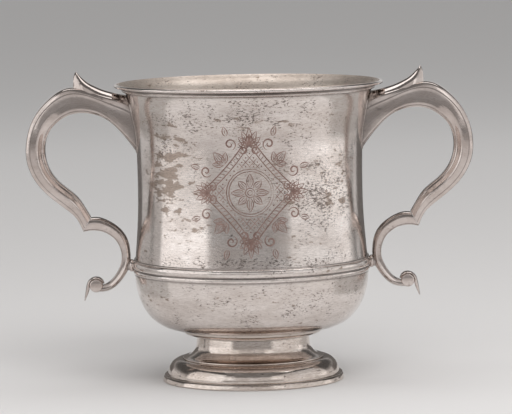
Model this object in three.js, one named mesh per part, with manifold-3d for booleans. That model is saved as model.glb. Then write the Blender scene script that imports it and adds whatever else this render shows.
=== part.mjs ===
// A two-handled silver cup on a spreading foot, in millimetres with +Z up.
// The origin is on the table under the middle of the foot, and X runs through both handles.
// The bowl and foot are turned or raised shells with applied mouldings. Each handle is a hollow
// double scroll cast in two halves, with a solid lower scroll, and everything is soldered together.

import * as THREE from 'three';
import { mergeVertices } from 'three/addons/utils/BufferGeometryUtils.js';
import Module from 'manifold-3d';

const wasm = await Module();
wasm.setup();

// Driving dimensions, millimetres
const roundFacets = 36;
const solderGap = 0.3;

// Foot, each size out or up from the piece inside or below it
const footWall = 1.2;
const footWireHeight = 3.2;
const footWireOverhang = 1;
const footWireDepth = 2.6;
const footWireSwell = 1.1;
const flangeThickness = 0.9;
const flangeWidth = 1.75;
const flangeFillet = 0.9;
const domeRise = 9.5;
const domeShoulder = 7.25;
const domeLedge = 1.4;
const seatRise = 0.35;
const seatMargin = 0.2;
const seatWidth = 4.6;
const neckRise = 12.6;
const neckRadius = 31;
const neckFlare = 7.6;
const neckFlareRise = 7;
const stepLip = 0.6;
const stepRound = 0.3;
const collarRise = 3.7;
const collarWidth = 7.8;
const collarEdge = 0.6;
const collarLedge = 0.8;

// Bowl: the waist's radius, what each other ring adds to the next one, and each height above the last
const bowlWall = 1.1;
const bowlFlatRadius = 38;
const waistRadius = 62;
const chestSwell = 1.3;
const bellySwell = 1.4;
const shoulderFlare = 1.2;
const lipRootFlare = 5;
const rimFlare = 4.8;
const bellyRise = 34;
const bellySquareness = 2.3;
const chestRise = 15;
const waistRise = 32;
const shoulderRise = 31;
const lipRootRise = 19.5;
const rimRise = 4.5;

// Applied mouldings on the bowl
const lipEdgeHeight = 1.8;
const lipEdgeSwell = 1.1;
const lipBeadHeight = 1.5;
const lipBeadSwell = 0.75;
const lipWeb = 0.3;
const girdleRise = 2.3;
const girdleWeb = 0.2;
const girdleBeadHeight = 4.2;
const girdleBeadSwell = 1.05;
const girdleFilletHeight = 0.95;
const girdleLowerHeight = 2.4;
const girdleLowerSwell = 0.55;
const girdleQuirk = 0.4;

// Handles, in their own frame: out from the girdle's edge, up from the girdle's middle
const handleDepth = 57.2;
const handleDrop = 1.6;
const handleWidth = 18.4;
const handleWall = 1.1;
const handleEndWall = 2;
const ventDiameter = 1.6;
const ventShare = 0.84;
const bulbRadius = 3.7;
const bulbHalfWidth = 3.1;
const bulbBevel = 0.8;
const plugRadius = 3.5;
const plugBeadWidth = 2;
const plugStemRadius = 2.8;
const plugDrop = 0.8;

// Stations of the upper scroll, hand-drawn from the root in the bowl wall to the knuckle:
// outer edge out and up, inner edge out and up, and half the width across the handle
const upperScroll = [
  { outer: [-10, 81], inner: [-14, 45], half: 9.2 },
  { outer: [1, 91], inner: [-3.6, 62.8], half: 8.7 },
  { outer: [9.8, 93.4], inner: [2.7, 71.2], half: 8.1 },
  { outer: [18.2, 95.6], inner: [10, 78.8], half: 7.6 },
  { outer: [27, 98.1], inner: [19.5, 83.6], half: 7.3 },
  { outer: [36.2, 97.6], inner: [30.5, 84], half: 7 },
  { outer: [45.4, 91.4], inner: [38.4, 80.3], half: 6.8 },
  { outer: [53, 81.8], inner: [44.1, 74.3], half: 6.5 },
  { outer: [57.2, 69.5], inner: [46.7, 66.4], half: 6.3 },
  { outer: [57, 56.5], inner: [46.2, 58.2], half: 6.1 },
  { outer: [52.2, 46.2], inner: [43.6, 51.6], half: 5.9 },
  { outer: [43.4, 36.8], inner: [37.4, 44.6], half: 5.6 },
  { outer: [34.6, 29.9], inner: [29.4, 37.6], half: 5.2 },
  { outer: [29.6, 24.6], inner: [25, 31], half: 4.7 },
  { outer: [26.9, 18.7], inner: [22.4, 26.6], half: 4.4 },
];

// Sections of the scrolls from the back to the closing edge: share of the thickness,
// share of the half width
const upperSection = [
  [0, 0], [0.04, 0.46], [0.13, 0.78], [0.3, 0.93], [0.56, 1], [0.78, 0.76], [0.92, 0.6], [1, 0.54],
];
const lowerSection = [
  [0, 0], [0.07, 0.56], [0.22, 0.88], [0.4, 1], [0.64, 0.84], [0.9, 0.78], [1, 0.5],
];

// Stations of the lower scroll past its root at the knuckle: the side towards the bowl first
const lowerScroll = [
  { outer: [19.4, 26.5], inner: [22.5, 19.1], half: 4.1 },
  { outer: [15.6, 25.7], inner: [17.6, 18.7], half: 3.9 },
  { outer: [11.6, 23.8], inner: [14.4, 17.6], half: 3.7 },
  { outer: [7.8, 21.2], inner: [11.3, 15.6], half: 3.6 },
  { outer: [4.3, 17.5], inner: [8.7, 13], half: 3.5 },
  { outer: [1.9, 12.2], inner: [6.9, 9.6], half: 3.4 },
  { outer: [1, 6.2], inner: [5.9, 5.6], half: 3.4 },
  { outer: [1.2, 0.6], inner: [6.2, 1], half: 3.4 },
  { outer: [3, -4.4], inner: [7.9, -3.2], half: 3.4 },
  { outer: [5.9, -8.7], inner: [10.3, -6.9], half: 3.4 },
  { outer: [9.4, -12.3], inner: [13, -9.6], half: 3.3 },
  { outer: [13.8, -14.7], inner: [15.6, -11], half: 3.2 },
  { outer: [18.8, -15.2], inner: [18.2, -11.6], half: 3 },
];

// Stations of the leaf on top of the scroll, from the bowl to the curled tip
const leafSpur = [
  { outer: [0.2, 93.9], inner: [0.2, 88], half: 5.4 },
  { outer: [9.4, 95.4], inner: [9.6, 90], half: 5 },
  { outer: [17, 98], inner: [18, 92], half: 4.5 },
  { outer: [21.8, 100.4], inner: [25, 93.5], half: 4.1 },
  { outer: [25, 103], inner: [29.2, 96.4], half: 3.9 },
  { outer: [27, 105], inner: [30.3, 101.6], half: 3.1 },
  { outer: [28.1, 106.2], inner: [30.2, 104.4], half: 2 },
  { outer: [28.8, 107], inner: [29.4, 106.6], half: 0.6 },
];
const leafSection = [[0, 0], [0.06, 0.5], [0.3, 0.94], [0.5, 1], [0.8, 0.9], [1, 0.72]];

// Middle of the lower scroll's round end
const bulbCentre = [20.3, -11.6];

// Stations of the tail leaf over the lower scroll's end, from the notch to the hanging tip
const leafTail = [
  { outer: [15.8, -10.3], inner: [16.6, -10.5], half: 2.3 },
  { outer: [17.1, -7.8], inner: [17.9, -8.8], half: 2.7 },
  { outer: [19.4, -6.7], inner: [19.7, -7.9], half: 2.9 },
  { outer: [22, -6.9], inner: [21.6, -8.1], half: 2.9 },
  { outer: [24.2, -8.4], inner: [23.2, -9.2], half: 2.8 },
  { outer: [25.5, -10.8], inner: [24, -11.1], half: 2.6 },
  { outer: [26.1, -13.4], inner: [24, -13.3], half: 2.2 },
  { outer: [26.6, -16.4], inner: [25, -16.4], half: 1.5 },
  { outer: [27.1, -20], inner: [26.6, -20.1], half: 0.5 },
];

// Heights worked out from the stack
const domeBase = footWireHeight;
const neckBase = domeBase + domeRise;
const collarBase = neckBase + neckRise;
const bowlBase = collarBase + collarRise;
const bellyHeight = bowlBase + bellyRise;
const chestHeight = bellyHeight + chestRise;
const waistHeight = chestHeight + waistRise;
const shoulderHeight = waistHeight + shoulderRise;
const lipRootHeight = shoulderHeight + lipRootRise;
const rimHeight = lipRootHeight + rimRise;
const girdleHeight = bellyHeight + girdleRise;
const girdleTop = girdleHeight + girdleBeadHeight / 2 + girdleFilletHeight;
const girdleBottom = girdleHeight - girdleBeadHeight / 2 - girdleQuirk - girdleLowerHeight;

// Radii worked out from the middle outwards
const collarRadius = neckRadius + collarWidth;
const chestRadius = waistRadius + chestSwell;
const bellyRadius = chestRadius + bellySwell;
const shoulderRadius = waistRadius + shoulderFlare;
const lipRootRadius = shoulderRadius + lipRootFlare;
const rimRadius = lipRootRadius + rimFlare;
const neckBore = neckRadius - footWall;
const stepRadius = neckRadius + neckFlare + stepRound;
const crownRadius = stepRadius + domeLedge;
const domeRadius = crownRadius + domeShoulder;
const flangeRadius = domeRadius + flangeWidth;
const footWireRadius = flangeRadius + footWireOverhang;
const girdleRoot = bellyRadius + girdleWeb;
const girdleRadius = girdleRoot + girdleBeadSwell;

// Materials
const silver = new THREE.MeshStandardMaterial({ color: '#b9b0aa', metalness: 1, roughness: 0.28 });
const wornSilver = new THREE.MeshStandardMaterial({ color: '#aaa19b', metalness: 1, roughness: 0.36 });

// A closed geometry from vertices and faces, without doubled points
function welded(geometry) {
  const bare = new THREE.BufferGeometry();
  bare.setAttribute('position', geometry.getAttribute('position'));
  if (geometry.index) bare.setIndex(geometry.index);
  return mergeVertices(bare, 1e-4);
}

function solidFrom(geometry) {
  const mesh = welded(geometry);
  return new wasm.Manifold(new wasm.Mesh({
    numProp: 3,
    vertProperties: new Float32Array(mesh.getAttribute('position').array),
    triVerts: new Uint32Array(mesh.index.array),
  }));
}

function geometryFrom(solid) {
  const mesh = solid.getMesh();
  const geometry = new THREE.BufferGeometry();
  geometry.setAttribute('position', new THREE.BufferAttribute(new Float32Array(mesh.vertProperties), 3));
  geometry.setIndex(new THREE.BufferAttribute(new Uint32Array(mesh.triVerts), 1));
  geometry.computeVertexNormals();
  return geometry;
}

// A profile of [radius, height] points turned about the Z axis
function turned(profile, facets = roundFacets) {
  const points = profile.map(([radius, height]) => new THREE.Vector2(radius, height));
  const lathe = new THREE.LatheGeometry(points, facets);
  return lathe.rotateX(Math.PI / 2);
}

// Points of a half ellipse that swells outwards between two heights
function bead(low, high, root, swell, steps = 4) {
  const middle = (low + high) / 2;
  const half = (high - low) / 2;
  return Array.from({ length: steps + 1 }, (_, i) => {
    const angle = -Math.PI / 2 + (Math.PI * i) / steps;
    return [root + swell * Math.cos(angle), middle + half * Math.sin(angle)];
  });
}

// Points of a quarter ellipse about a centre, from one angle to another, in degrees
function ellipseArc(centre, radii, from, to, steps) {
  return Array.from({ length: steps + 1 }, (_, i) => {
    const angle = THREE.MathUtils.degToRad(from + ((to - from) * i) / steps);
    return [centre[0] + radii[0] * Math.cos(angle), centre[1] + radii[1] * Math.sin(angle)];
  });
}

// The same line moved sideways by a distance, to its left as it runs
function offsetLine(line, distance) {
  return line.map((point, i) => {
    const before = line[Math.max(i - 1, 0)];
    const after = line[Math.min(i + 1, line.length - 1)];
    const run = new THREE.Vector2(after[0] - before[0], after[1] - before[1]).normalize();
    return [point[0] - run.y * distance, point[1] + run.x * distance];
  });
}

// The bowl's outer surface above the belly
const wallCurve = new THREE.CatmullRomCurve3([
  new THREE.Vector3(bellyRadius, bellyHeight, 0),
  new THREE.Vector3(chestRadius, chestHeight, 0),
  new THREE.Vector3(waistRadius, waistHeight, 0),
  new THREE.Vector3(shoulderRadius, shoulderHeight, 0),
  new THREE.Vector3(lipRootRadius, lipRootHeight, 0),
  new THREE.Vector3(rimRadius, rimHeight, 0),
], false, 'centripetal');

// Radius of the bowl's outside at a height: a squarish quarter ellipse below the belly, the wall above
function bowlRadius(height) {
  if (height <= bellyHeight) {
    const drop = Math.min((bellyHeight - height) / bellyRise, 1);
    const share = (1 - drop ** bellySquareness) ** (1 / bellySquareness);
    return bowlFlatRadius + (bellyRadius - bowlFlatRadius) * share;
  }
  let low = 0;
  let high = 1;
  for (let i = 0; i < 40; i += 1) {
    const middle = (low + high) / 2;
    if (wallCurve.getPoint(middle).y < height) low = middle;
    else high = middle;
  }
  return wallCurve.getPoint(high).x;
}

function heightsBetween(low, high, steps) {
  return Array.from({ length: steps + 1 }, (_, i) => low + ((high - low) * i) / steps);
}

// Heights of the rings, close where the wall turns fast
const undersideSteps = 7;
const undersideHeights = heightsBetween(1, 1 / undersideSteps, undersideSteps - 1).map((share) => {
  const drop = Math.sin((Math.PI / 2) * share) ** (2 / bellySquareness);
  return bellyHeight - bellyRise * drop;
}).filter((height) => height < girdleBottom - girdleLowerHeight / 2);
const girdleSeatHeights = heightsBetween(girdleBottom, girdleTop, 3);
const wallHeights = heightsBetween(girdleTop, lipRootHeight, 8);
const lipSeatHeights = heightsBetween(lipRootHeight, rimHeight, 3);
const onBowl = (heights, out = 0) => heights.map((height) => [bowlRadius(height) + out, height]);
const outsideHeights = [
  ...undersideHeights, ...girdleSeatHeights, ...wallHeights.slice(1), ...lipSeatHeights.slice(1),
];

function bowl() {
  const insideHeights = heightsBetween(bellyHeight, lipRootHeight, 5);
  const inside = offsetLine(onBowl([...undersideHeights, ...insideHeights, rimHeight]), bowlWall);
  inside[0] = [bowlFlatRadius, bowlBase + bowlWall];
  inside[inside.length - 1] = [inside[inside.length - 1][0], rimHeight];
  return turned([
    [0, bowlBase], ...onBowl(outsideHeights), ...inside.reverse(), [0, bowlBase + bowlWall],
  ]);
}

// The moulding under the lip: a small bead on the wall, a hollow and the rounded edge
function lipWire() {
  const beadSteps = 4;
  const lower = heightsBetween(lipRootHeight, lipRootHeight + lipBeadHeight, beadSteps)
    .map((height, i) => [
      bowlRadius(height) + lipWeb + lipBeadSwell * Math.sin((Math.PI * i) / beadSteps), height,
    ]);
  const edge = bead(rimHeight - lipEdgeHeight, rimHeight, rimRadius, lipEdgeSwell);
  return turned([...lower, ...edge, ...onBowl(lipSeatHeights).reverse(), lower[0]]);
}

// Outline of the girdle let out by a margin: a lower bead, a quirk, the main half-round
function girdleFace(margin) {
  const mainLow = girdleHeight - girdleBeadHeight / 2;
  const lowerTop = girdleBottom + girdleLowerHeight;
  return [
    ...bead(girdleBottom - margin, lowerTop + Math.min(margin, girdleQuirk / 2), girdleRoot,
      girdleLowerSwell + margin),
    ...bead(mainLow - Math.min(margin, girdleQuirk / 2), mainLow + girdleBeadHeight + margin,
      girdleRoot, girdleBeadSwell + margin, 5),
  ];
}

function girdle() {
  const face = girdleFace(0);
  return turned([...face, [girdleRoot, girdleTop], ...onBowl(girdleSeatHeights).reverse(), face[0]]);
}

// The collar: a narrow edge under the bowl and a quarter-round that draws in to the neck
function footCollar() {
  const centre = [neckRadius + collarLedge, bowlBase - collarEdge];
  const radii = [collarRadius - centre[0], centre[1] - collarBase];
  return turned([
    [neckBore, collarBase], ...ellipseArc(centre, radii, 270, 360, 6), [collarRadius, bowlBase],
    [neckBore, bowlBase], [neckBore, collarBase],
  ]);
}

// The neck: a straight throat that flares as a quarter ellipse to the step
function footNeck() {
  const centre = [neckRadius + neckFlare, neckBase + stepLip + neckFlareRise];
  const outside = ellipseArc(centre, [neckFlare, neckFlareRise], 270, 180, 6);
  const inner = [neckFlare + footWall, neckFlareRise + footWall];
  const cut = THREE.MathUtils.radToDeg(Math.asin(Math.min((centre[1] - neckBase) / inner[1], 1)));
  const inside = ellipseArc(centre, inner, 180, 180 + cut, 4);
  inside[inside.length - 1][1] = neckBase;
  return turned([
    [stepRadius, neckBase], [stepRadius, neckBase + stepLip - stepRound], ...outside,
    [neckRadius, collarBase], [neckBore, collarBase], ...inside, [stepRadius, neckBase],
  ]);
}

// The dome: a raised seat for the neck, a shoulder that rounds over, and a flange on the wire
function footDome() {
  const crown = neckBase - seatRise;
  const flangeTop = domeBase + flangeThickness;
  const shoulderBase = flangeTop + flangeFillet;
  const radii = [domeShoulder, crown - shoulderBase];
  const outside = ellipseArc([crownRadius, shoulderBase], radii, 90, 0, 6);
  const inner = radii.map((radius) => radius - footWall);
  const inside = ellipseArc([crownRadius, shoulderBase], inner, 0, 90, 4);
  const fillet = ellipseArc([domeRadius + flangeFillet, shoulderBase],
    [flangeFillet, flangeFillet], 180, 270, 2);
  const seatBore = stepRadius - seatWidth;
  const seatEdge = [stepRadius + seatMargin, neckBase];
  return turned([
    seatEdge, ...outside, ...fillet.slice(1), [flangeRadius, flangeTop], [flangeRadius, domeBase],
    [crownRadius + inner[0], domeBase], ...inside, [seatBore, crown - footWall],
    [seatBore, neckBase], seatEdge,
  ].reverse());
}

function footWire() {
  const bore = footWireRadius - footWireDepth;
  const face = bead(0, footWireHeight, footWireRadius - footWireSwell, footWireSwell);
  return turned([[bore, 0], ...face, [bore, footWireHeight], [bore, 0]]);
}

// The drawn handle is sized to its depth, to the height of its top below the rim, and to its width
const drawn = (read) => Math.max(...upperScroll.map(read));
const outShare = handleDepth / drawn((s) => s.outer[0]);
const upShare = (rimHeight - handleDrop - girdleHeight) / drawn((s) => s.outer[1]);
const widthShare = handleWidth / (2 * drawn((s) => s.half));

// A drawn point of the handle as a point of the XZ plane
const place = ([out, up]) => (
  new THREE.Vector3(girdleRadius + out * outShare, 0, girdleHeight + up * upShare)
);

// Smooth rails through hand-drawn stations, sampled evenly
function smoothStations(stations, count) {
  const outer = new THREE.CatmullRomCurve3(stations.map((s) => place(s.outer)), false, 'centripetal');
  const inner = new THREE.CatmullRomCurve3(stations.map((s) => place(s.inner)), false, 'centripetal');
  const half = new THREE.CatmullRomCurve3(
    stations.map((s, i) => new THREE.Vector3(i, s.half * widthShare, 0)), false, 'catmullrom', 0.5);
  return Array.from({ length: count + 1 }, (_, i) => {
    const share = i / count;
    return { outer: outer.getPoint(share), inner: inner.getPoint(share), half: half.getPoint(share).y };
  });
}

// The same stations drawn in by a wall, or let out by a negative one
function thinned(stations, wall) {
  return stations.map(({ outer, inner, half }) => {
    const across = inner.clone().sub(outer).normalize().multiplyScalar(wall);
    return { outer: outer.clone().add(across), inner: inner.clone().sub(across), half: half - wall };
  });
}

// A solid lofted through stations: each carries a mirrored section between its two rails
function lofted(stations, section) {
  const ring = [...section, ...section.slice(1).reverse().map(([t, w]) => [t, -w])];
  const count = ring.length;
  const positions = [];
  stations.forEach(({ outer, inner, half }) => {
    ring.forEach(([t, w]) => {
      const point = outer.clone().lerp(inner, t);
      positions.push(point.x, w * half, point.z);
    });
  });
  const index = [];
  const last = stations.length - 1;
  for (let s = 0; s < last; s += 1) {
    for (let k = 0; k < count; k += 1) {
      const a = s * count + k;
      const b = s * count + ((k + 1) % count);
      index.push(a, b, b + count, a, b + count, a + count);
    }
  }
  [0, last].forEach((s) => {
    const { outer, inner } = stations[s];
    const centre = outer.clone().lerp(inner, 0.5);
    const hub = positions.length / 3;
    positions.push(centre.x, 0, centre.z);
    for (let k = 0; k < count; k += 1) {
      const a = s * count + k;
      const b = s * count + ((k + 1) % count);
      if (s === 0) index.push(hub, b, a);
      else index.push(hub, a, b);
    }
  });
  const geometry = new THREE.BufferGeometry();
  geometry.setAttribute('position', new THREE.Float32BufferAttribute(positions, 3));
  geometry.setIndex(index);
  const solid = solidFrom(geometry);
  if (solid.volume() > 0) return solid;
  geometry.setIndex(index.reverse());
  return solidFrom(geometry);
}

// The lower scroll's stations: its root lies on the knuckle's end, past a solder gap
function lowerStations(knuckle) {
  const run = knuckle.end.outer.clone().sub(knuckle.before.outer).setLength(solderGap);
  const root = {
    outer: knuckle.end.inner.clone().add(run),
    inner: knuckle.end.outer.clone().add(run),
    half: knuckle.end.half,
  };
  return [root, ...smoothStations(lowerScroll, 14)];
}

// The round end of the lower scroll, let out by a margin
function bulb(margin) {
  const half = bulbHalfWidth + margin;
  const radius = bulbRadius + margin;
  const profile = [
    [0, -half], [radius - bulbBevel, -half], [radius, bulbBevel - half], [radius, half - bulbBevel],
    [radius - bulbBevel, half], [0, half],
  ];
  const centre = place(bulbCentre);
  return solidFrom(turned(profile, 18).rotateX(Math.PI / 2).translate(centre.x, 0, centre.z));
}

const scrollSolid = (stations, margin) => lofted(thinned(stations, -margin), lowerSection)
  .add(bulb(margin));

// Room that a soldered neighbour leaves round the bowl and its girdle
function bodyRoom() {
  const outline = onBowl(outsideHeights, solderGap);
  const wall = solidFrom(turned([[0, bowlBase], ...outline, [0, rimHeight]]));
  const band = girdleFace(solderGap);
  const ends = [girdleBottom - solderGap, girdleTop + solderGap];
  const face = [...band, [girdleRoot, ends[1]]];
  return wall.add(solidFrom(turned([[0, ends[0]], ...face, [0, ends[1]]])));
}

// Half of space on one side of the handle's middle plane
function sideBlock(side) {
  const size = 4 * rimHeight;
  return solidFrom(new THREE.BoxGeometry(size, size, size).translate(0, (side * size) / 2, 0));
}

// The plug that holds the lower scroll off the girdle: a stem with a bead round its middle
function plugSolid(stations) {
  const nearest = Math.min(...stations.map(({ outer }) => outer.x));
  const middle = (nearest + girdleRadius) / 2;
  const reach = plugRadius;
  const bound = plugBeadWidth / 2;
  const profile = [
    [0, -reach], [plugStemRadius, -reach], [plugStemRadius, -bound],
    ...bead(-bound, bound, plugStemRadius, plugRadius - plugStemRadius),
    [plugStemRadius, reach], [0, reach],
  ];
  return solidFrom(turned(profile, 12).rotateY(Math.PI / 2)
    .translate(middle, 0, girdleHeight - plugDrop));
}

function handleSolids() {
  const room = bodyRoom();
  const steps = 21;
  const stations = smoothStations(upperScroll, steps);
  const [before, end] = stations.slice(-2);
  const hollowStations = thinned(stations, handleWall);
  const hollowEnd = hollowStations[steps];
  const back = before.outer.clone().sub(end.outer).setLength(handleEndWall);
  hollowEnd.outer.add(back);
  hollowEnd.inner.add(back);
  const full = lofted(stations, upperSection);
  const hollow = lofted(hollowStations, upperSection);
  const ventAt = stations[Math.round(steps * ventShare)];
  const ventRun = ventAt.inner.clone().sub(ventAt.outer).normalize();
  const turn = new THREE.Quaternion().setFromUnitVectors(new THREE.Vector3(0, 1, 0), ventRun);
  const vent = solidFrom(new THREE.CylinderGeometry(ventDiameter / 2, ventDiameter / 2,
    handleWall * 4, 12).applyQuaternion(turn).translate(ventAt.inner.x, 0, ventAt.inner.z));
  const tube = full.subtract(hollow).subtract(room).subtract(vent);
  const shellRoom = lofted(thinned(stations, -solderGap), upperSection);
  const scroll = lowerStations({ before, end });
  const scrollRoom = scrollSolid(scroll, solderGap);
  return {
    handle_front_shell: tube.intersect(sideBlock(-1)),
    handle_back_shell: tube.intersect(sideBlock(1)),
    leaf_spur: lofted(smoothStations(leafSpur, 9), leafSection).subtract(shellRoom).subtract(room),
    lower_scroll: scrollSolid(scroll, 0),
    tail_leaf: lofted(smoothStations(leafTail, 9), leafSection).subtract(scrollRoom),
    scroll_plug: plugSolid(scroll).subtract(room).subtract(scrollRoom),
  };
}

function named(name, geometry, material) {
  const mesh = new THREE.Mesh(geometry, material);
  mesh.name = name;
  return mesh;
}

const cup = new THREE.Group();
cup.add(
  named('bowl', bowl(), silver),
  named('lip_wire', lipWire(), silver),
  named('girdle', girdle(), silver),
  named('foot_collar', footCollar(), silver),
  named('foot_neck', footNeck(), silver),
  named('foot_dome', footDome(), silver),
  named('foot_wire', footWire(), silver),
);

// The handle is the same on both sides: the left one is the right one turned half way round,
// which puts its back shell in front
const handle = handleSolids();
const swapped = {
  handle_front_shell: 'handle_back_shell',
  handle_back_shell: 'handle_front_shell',
};
const rightHandle = new THREE.Group();
const leftHandle = new THREE.Group();
leftHandle.rotation.z = Math.PI;
Object.entries(handle).forEach(([piece, solid]) => {
  rightHandle.add(named(`right_${piece}`, geometryFrom(solid), wornSilver));
  leftHandle.add(named(`left_${swapped[piece] ?? piece}`, geometryFrom(solid), wornSilver));
});
cup.add(rightHandle, leftHandle);

export default cup;
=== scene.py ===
"""A two-handled silver cup on a spreading foot, dressed over its CAD frame.

Lengths are in millimetres and turned to metres when a mesh is made, and only the studio is in
metres. Z is up, the front of the bowl faces -Y, and the handles lie along X.
"""
import math

import bmesh
import bpy
import numpy as np
from mathutils import Matrix, Vector


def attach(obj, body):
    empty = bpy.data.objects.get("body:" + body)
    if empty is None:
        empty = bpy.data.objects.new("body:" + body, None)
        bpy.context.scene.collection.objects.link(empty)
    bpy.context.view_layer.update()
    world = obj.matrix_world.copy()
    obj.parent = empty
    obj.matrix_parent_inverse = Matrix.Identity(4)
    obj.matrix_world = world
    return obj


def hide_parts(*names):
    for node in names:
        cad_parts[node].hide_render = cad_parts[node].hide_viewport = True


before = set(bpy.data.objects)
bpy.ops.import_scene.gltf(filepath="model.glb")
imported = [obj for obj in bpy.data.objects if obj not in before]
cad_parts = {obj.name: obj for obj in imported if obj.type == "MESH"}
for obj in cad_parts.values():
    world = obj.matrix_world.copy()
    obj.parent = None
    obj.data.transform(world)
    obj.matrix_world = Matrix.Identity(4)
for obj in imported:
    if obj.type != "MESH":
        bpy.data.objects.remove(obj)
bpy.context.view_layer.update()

MM = 0.001
MERGE_WITHIN = 1e-6
TINY = 1e-9

# Sizes of the bowl and foot: the CAD's own, with finer sections for the moulded edges
FOOT_WIRE_HEIGHT = 3.2
FOOT_WIRE_LINE = [(49.5, 0), (50.2, 0.4), (50.2, 1.0), (49.95, 2.1), (49.65, 2.8), (49.0, 3.2)]
FOOT_WIRE_BORE = 47.7
NECK_BASE = 12.7
COLLAR_BASE = 25.3
BOWL_BASE = 29.0
BELLY_HEIGHT = 63.0
LIP_ROOT_HEIGHT = 160.5
RIM_HEIGHT = 165.0
BOWL_WALL = 1.1
FOOT_WALL = 1.2
NECK_RADIUS = 31.0
NECK_BORE = NECK_RADIUS - FOOT_WALL
NECK_FLARE = (7.6, 7.0)
NECK_INSIDE_ARC = (180, 247)
NECK_LINE = [(35.5, 14.0), (33.4, 15.9), (32.1, 17.8), (31.62, 19.4), (31.28, 22.3)]
STEP_RADIUS = 38.9
STEP_ROUND = 0.3
STEP_THICKNESS = 0.85
COLLAR_RADIUS = 38.8
COLLAR_LEDGE = 0.8
COLLAR_EDGE = 0.6
CROWN_RADIUS = 40.3
DOME_RADIUS = 47.55
FLANGE_RADIUS = 49.3
FLANGE_THICKNESS = 0.45
FLANGE_FILLET = 0.3
FLANGE_ROUND = 0.2
SEAT_RISE = 0.35
SEAT_BORE = 34.3
SEAT_MARGIN = 0.2
FLAT_RADIUS = 38.0
BELLY_RADIUS = 64.7
BELLY_SQUARENESS = 2.3
RIM_RADIUS = 73.0
LIP_EDGE_RADIUS = 74.1
LIP_EDGE_HEIGHT = 1.8
LIP_BEAD_HEIGHT = 1.5
LIP_BEAD_SWELL = 0.75
LIP_BEAD_STAND = 0.3
LIP_HOLLOW = (1.7, 0.5)
LIP_SEAT = 0.3
GIRDLE_ROOT = 64.9
GIRDLE_RADIUS = 65.95
GIRDLE_HEIGHT = 65.3
GIRDLE_TOP = 68.35
GIRDLE_BOTTOM = 60.4
GIRDLE_LOWER_TOP = 62.8
GIRDLE_BEAD = (63.2, 67.4)
GIRDLE_LOWER_SWELL = 0.55
GIRDLE_SEAT = 63.6
# The fillet over the girdle: out from its root, up from its top
GIRDLE_FILLET = [(0.12, -0.8), (0.12, -0.2), (-0.1, 0)]
WALL_LINE = [(64.7, 63), (64.0, 70), (63.3, 78), (62.35, 92), (62, 110), (62.25, 128),
             (63.2, 141), (64.9, 149.5), (68.2, 160.5), (73, 165)]
BODY_FACETS = 256
WALL_STEPS = 112
BELLY_STEPS = 60
BELLY_FINE_STEPS = 160

# Joints between the turned pieces, where dirt stays after polishing, and last a wide ring of painted shade on
# the bowl's underside round the collar: radius, height, width, amount
JOINTS_AND_UNDERSIDE_SHADE = [
    (64.9, 68.5, 0.5, 0.9), (65.1, 63.0, 0.45, 0.9), (64.9, 60.2, 0.5, 0.8), (68.3, 160.2, 0.5, 0.8),
    (71.0, 162.7, 1.3, 1), (31.2, 25.2, 0.5, 1), (38.9, 29.0, 0.45, 0.7), (39.3, 12.3, 0.3, 0.6),
    # the last ring, at (44, 29.4), is painted shade under the bowl, round the collar
    (49.2, 3.3, 0.3, 0.8), (44, 29.4, 5, 0.4)]


# Curves and surfaces

def spline(points, count):
    """A smooth line through points: a natural cubic spline over the length of its chords.

    Each span is a cubic in the distance along the chords. The second derivatives, zero at both
    ends, are solved so that slope and curvature run on through every point.
    """
    points = np.asarray(points, float)
    knots = np.r_[0, np.cumsum(np.linalg.norm(np.diff(points, axis=0), axis=1))]
    size = len(points)
    step = np.diff(knots)
    system = np.eye(size)
    right = np.zeros_like(points)
    inner = np.arange(1, size - 1)
    system[inner, inner - 1] = step[:-1]
    system[inner, inner] = 2 * (step[:-1] + step[1:])
    system[inner, inner + 1] = step[1:]
    slopes = np.diff(points, axis=0) / step[:, None]
    right[1:-1] = 6 * np.diff(slopes, axis=0)
    bend = np.linalg.solve(system, right)
    at = np.linspace(0, knots[-1], count)
    span = np.clip(np.searchsorted(knots, at, side="right") - 1, 0, size - 2)
    width = step[span][:, None]
    before = (knots[span + 1] - at)[:, None]
    after = (at - knots[span])[:, None]
    curve = (bend[span] * before ** 3 + bend[span + 1] * after ** 3) / (6 * width)
    start = points[span] / width - bend[span] * width / 6
    end = points[span + 1] / width - bend[span + 1] * width / 6
    return curve + start * before + end * after


def arc(centre, radii, start, end, count):
    """Points of an ellipse about centre: radii times (cos, sin) of the angle, in degrees."""
    angle = np.radians(np.linspace(start, end, count))
    return np.c_[centre[0] + radii[0] * np.cos(angle), centre[1] + radii[1] * np.sin(angle)]


def joint_dirt_and_underside_shade(x, y, z):
    """Dirt left beside a joint, and painted shade under the bowl: a bell curve of the distance to each
    circle, the most taken.
    """
    radius = np.hypot(x, y)
    return np.max([amount * np.exp(-((radius - r) ** 2 + (z - h) ** 2) / wide ** 2)
                   for r, h, wide, amount in JOINTS_AND_UNDERSIDE_SHADE], axis=0)


def store(mesh, name, values):
    """Keeps a share from 0 to 1 at every point of a mesh, for its material to read."""
    layer = mesh.attributes.new(name, "FLOAT", "POINT")
    layer.data.foreach_set("value", np.clip(values, 0, 1).astype(np.float32))


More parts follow.
